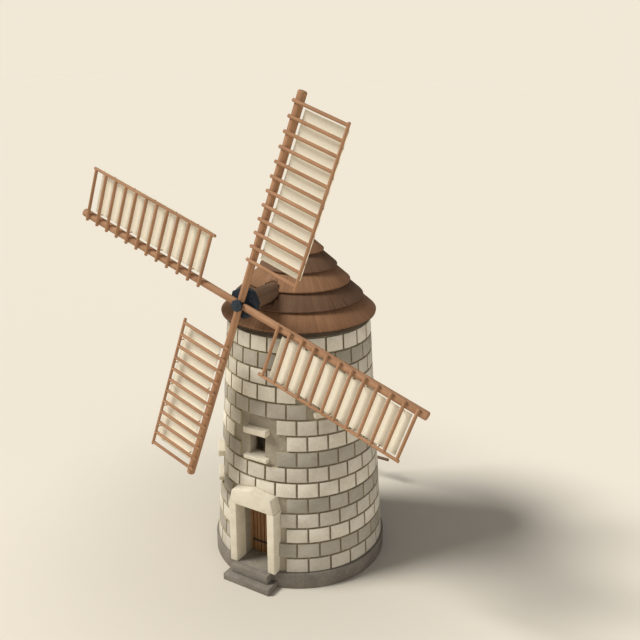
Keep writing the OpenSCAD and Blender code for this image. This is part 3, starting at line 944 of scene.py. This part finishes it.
def sail_lattice():
    """Rungs laid across the arm, the edge bar along their ends, and the canvas pegs."""
    pieces = []
    for number in range(RUNGS):
        along = first_rung + number * rung_gap
        rung = rod("rung", (along, rung_front, lattice_high.z), (along, rung_front, bar_across),
                   RUNG_RADIUS, sides=16, dome=0.02)
        pieces.append(mark_grain(rung, "Z"))
    bar = rod("bar", (lattice_low.x, rung_front, bar_across),
              (lattice_high.x, rung_front, bar_across), BAR_RADIUS, sides=20, dome=0.022)
    pieces.append(mark_grain(bar, "X"))
    for along, across in peg_places():
        peg = rod("peg", (along, rung_front, across), (along, cloth_low.y, across), PEG_RADIUS,
                  sides=10, dome=0.005, dome_rings=2)
        pieces.append(mark_grain(peg, "Y"))
    return smooth(joined(pieces, "lattice"), 60)


def sail_cloth():
    """One canvas, held at its edges and bellied a little between them."""
    length, width = cloth_high.x - cloth_low.x, cloth_high.z - cloth_low.z
    bpy.ops.mesh.primitive_grid_add(
        x_subdivisions=CLOTH_STEPS_ALONG, y_subdivisions=CLOTH_STEPS_ACROSS, size=1,
        location=((cloth_low.x + cloth_high.x) / 2, 0, (cloth_low.z + cloth_high.z) / 2),
        rotation=(math.pi / 2, 0, 0))
    cloth = bpy.context.object
    cloth.scale = (length, width, 1)
    settle(cloth)
    cloth.data.uv_layers[0].name = "cut"
    for corner in cloth.data.uv_layers[0].data:
        corner.uv = (corner.uv[0] * length, corner.uv[1] * width)
    front = cloth_low.y + CLOTH_THICKNESS / 2
    for vertex in cloth.data.vertices:
        u = (vertex.co.x - cloth_low.x) / length
        v = (vertex.co.z - cloth_low.z) / width
        belly = math.sin(math.pi * v) * max(0, math.sin(math.pi * u)) ** 0.5
        ripple = math.sin(math.pi * (vertex.co.x - first_rung) / rung_gap)
        slack = abs(2 * v - 1) ** 3
        vertex.co.y = front + CLOTH_BELLY * belly + CLOTH_RIPPLE * ripple * slack
    modify(cloth, "SOLIDIFY", thickness=CLOTH_THICKNESS, offset=0)
    return smooth(cloth, 60)


def eyelets():
    """A small roped ring sewn into the canvas at each peg."""
    rings = []
    for along, across in peg_places():
        bpy.ops.mesh.primitive_torus_add(
            location=(along, cloth_low.y, across), rotation=(math.pi / 2, 0, 0),
            major_segments=20, minor_segments=8,
            major_radius=EYELET_RADIUS, minor_radius=EYELET_ROPE)
        rings.append(settle(bpy.context.object))
    return smooth(joined(rings, "eyelets"), 60)


def build_sails():
    """The four sails: one of each piece, then copies turned to their places."""
    length, width = cloth_high.x - cloth_low.x, cloth_high.z - cloth_low.z
    patterns = {
        "arm": (sail_arm(), SAIL_WOOD, "sail_timber"),
        "lattice": (sail_lattice(), SAIL_WOOD, "sail_timber"),
        "cloth": (sail_cloth(), canvas_finish(length, width), "canvas"),
        "eyelets": (eyelets(), ROPE, "canvas"),
    }
    for number in range(1, 5):
        for kind, (pattern, finish, slot) in patterns.items():
            node = f"sail_{kind}_{number}"
            new = node not in frame["nodes"]
            piece = copied(pattern, sail_place(number))
            piece.name = node if new else node + "_made"
            finished(piece, finish, "rotor", slot, *([] if new else [node]))
    for pattern, _, _ in patterns.values():
        bpy.data.objects.remove(pattern)


def build_hub():
    """The cast hub, its bolts and the windshaft behind it."""
    eased("hub_iron", 0.012, HUB_IRON, corner=30, segments=3)
    eased("windshaft", 0.012, DARK_WOOD, "Y", corner=50)
    low, high = box_in(SAIL, "hub_iron")
    bolts = []
    face = high.y - PLATE_BEHIND_BOSS
    for number in range(HUB_BOLTS):
        turn = math.tau * (number + 0.5) / HUB_BOLTS
        across, up = BOLT_CIRCLE * math.cos(turn), BOLT_CIRCLE * math.sin(turn)
        bolt = rod("bolt", (across, face + 0.01, up), (across, face - 0.03, up), BOLT_RADIUS,
                   sides=6)
        bolts.append(ease(bolt, 0.004))
    nut = rod("nut", (0, low.y + 0.01, 0), (0, low.y - 0.012, 0), NUT_RADIUS, sides=6)
    ease(nut, 0.005)
    piece = joined(bolts + [nut], "hub_bolts")
    piece.data.transform(SAIL)
    finished(smooth(piece), HUB_IRON, "rotor", "iron")


# --- The cap --------------------------------------------------------------------------

def build_cap():
    """Lapped rings, alternately light and dark, on the curb, and the tail behind."""
    for number in range(1, 6):
        eased(f"roof_ring_{number}", 0, ROOF_LIGHT if number % 2 else ROOF_DARK)
    eased("roof_peak", 0, ROOF_DARK)
    eased("cap_curb", 0.008, CURB_WOOD, corner=50)
    eased("shaft_bearings", 0.01, DARK_WOOD, "X", corner=50)
    eased("tail_beam", 0.014, DARK_WOOD, "Y", corner=50)
    eased("tail_pole", 0.012, DARK_WOOD, "Z", corner=50)
    eased("push_bar", 0.018, DARK_WOOD, "X", corner=50, segments=3)


def dress_frame():
    """Finishes for the CAD pieces that show as they are."""
    shown = {"window_panes": GLASS, "door_pintles": DOOR_IRON, "door_ironwork": DOOR_IRON}
    shown.update((node, BARE_WALL) for node in frame["nodes"] if node.startswith("wall_"))
    for node, finish in shown.items():
        data = frame["nodes"][node].data
        data.materials.clear()
        data.materials.append(finish)
    eased("window_frames", 0.005, FRAME_WOOD, "Z", corner=50)


# --- Floor, light and camera ----------------------------------------------------------

def sunlight(name, direction, strength, spread_angle, tint=(1.0, 1.0, 1.0)):
    """A soft sun that shines from a direction."""
    lamp = bpy.data.lights.new(name, "SUN")
    lamp.energy = strength
    lamp.angle = math.radians(spread_angle)
    lamp.color = tint
    sun = bpy.data.objects.new(name, lamp)
    sun.rotation_euler = Vector(direction).to_track_quat("Z", "Y").to_euler()
    bpy.context.collection.objects.link(sun)


def build_stage():
    """A pale floor, painted darker near the mill as painted shade, a soft low sun with a weak
    fill, and an even sky.
    """
    bpy.ops.object.select_all(action="DESELECT")
    bpy.ops.mesh.primitive_plane_add(size=600)
    ground = bpy.context.object
    ground.name = "ground"
    made, tree, shader = material("pale floor", Roughness=1.0, Specular_IOR_Level=0.0)
    # Painted shade: the floor's colour darkens towards the mill, from D4CCBE near it to F5ECDC
    # far off.
    away = add(tree, "VectorMath", {0: place_of(tree)}, operation="LENGTH").outputs["Value"]
    tint = blend(tree, scaled_to(tree, away, FLOOR_SHADE_NEAR, FLOOR_SHADE_FAR), colour("D4CCBE"),
                 colour("F5ECDC"))
    tree.links.new(tint, shader.inputs["Base Color"])
    ground.data.materials.append(made)

    sunlight("sun", (-0.77, -0.63, 1.12), SUN_STRENGTH, 20, (1.0, 0.99, 0.96))
    sunlight("fill", (0.86, -0.45, 0.22), FILL_STRENGTH, 60)

    world = bpy.data.worlds.new("studio")
    world.use_nodes = True
    tree = world.node_tree
    sky = tree.nodes["Background"]
    sky.inputs["Color"].default_value = colour("FFFFFF")
    sky.inputs["Strength"].default_value = SKY_STRENGTH
    beyond = add(tree, "Background", {"Color": colour("F1E8D6"), "Strength": 1.0})
    seen = add(tree, "LightPath").outputs["Is Camera Ray"]
    chosen = add(tree, "MixShader", {0: seen, 1: sky.outputs[0], 2: beyond.outputs[0]})
    tree.links.new(chosen.outputs[0], tree.nodes["World Output"].inputs["Surface"])
    bpy.context.scene.world = world
    bpy.context.scene.view_settings.view_transform = "Standard"


def build_camera():
    """The camera, up to the right of the doorway."""
    data = bpy.data.cameras.new("camera")
    data.lens = 45.71
    data.clip_end = 900
    camera = bpy.data.objects.new("camera", data)
    camera.location = (12.478, -19.826, 15.696)
    camera.rotation_euler = [math.radians(angle) for angle in (71.097, -0.136, 30.662)]
    bpy.context.collection.objects.link(camera)
    bpy.context.scene.camera = camera


build_stage()
build_camera()
for course in range(COURSES):
    build_course(course)
build_stonework()
build_door()
build_studs()
build_sails()
build_hub()
build_cap()
dress_frame()
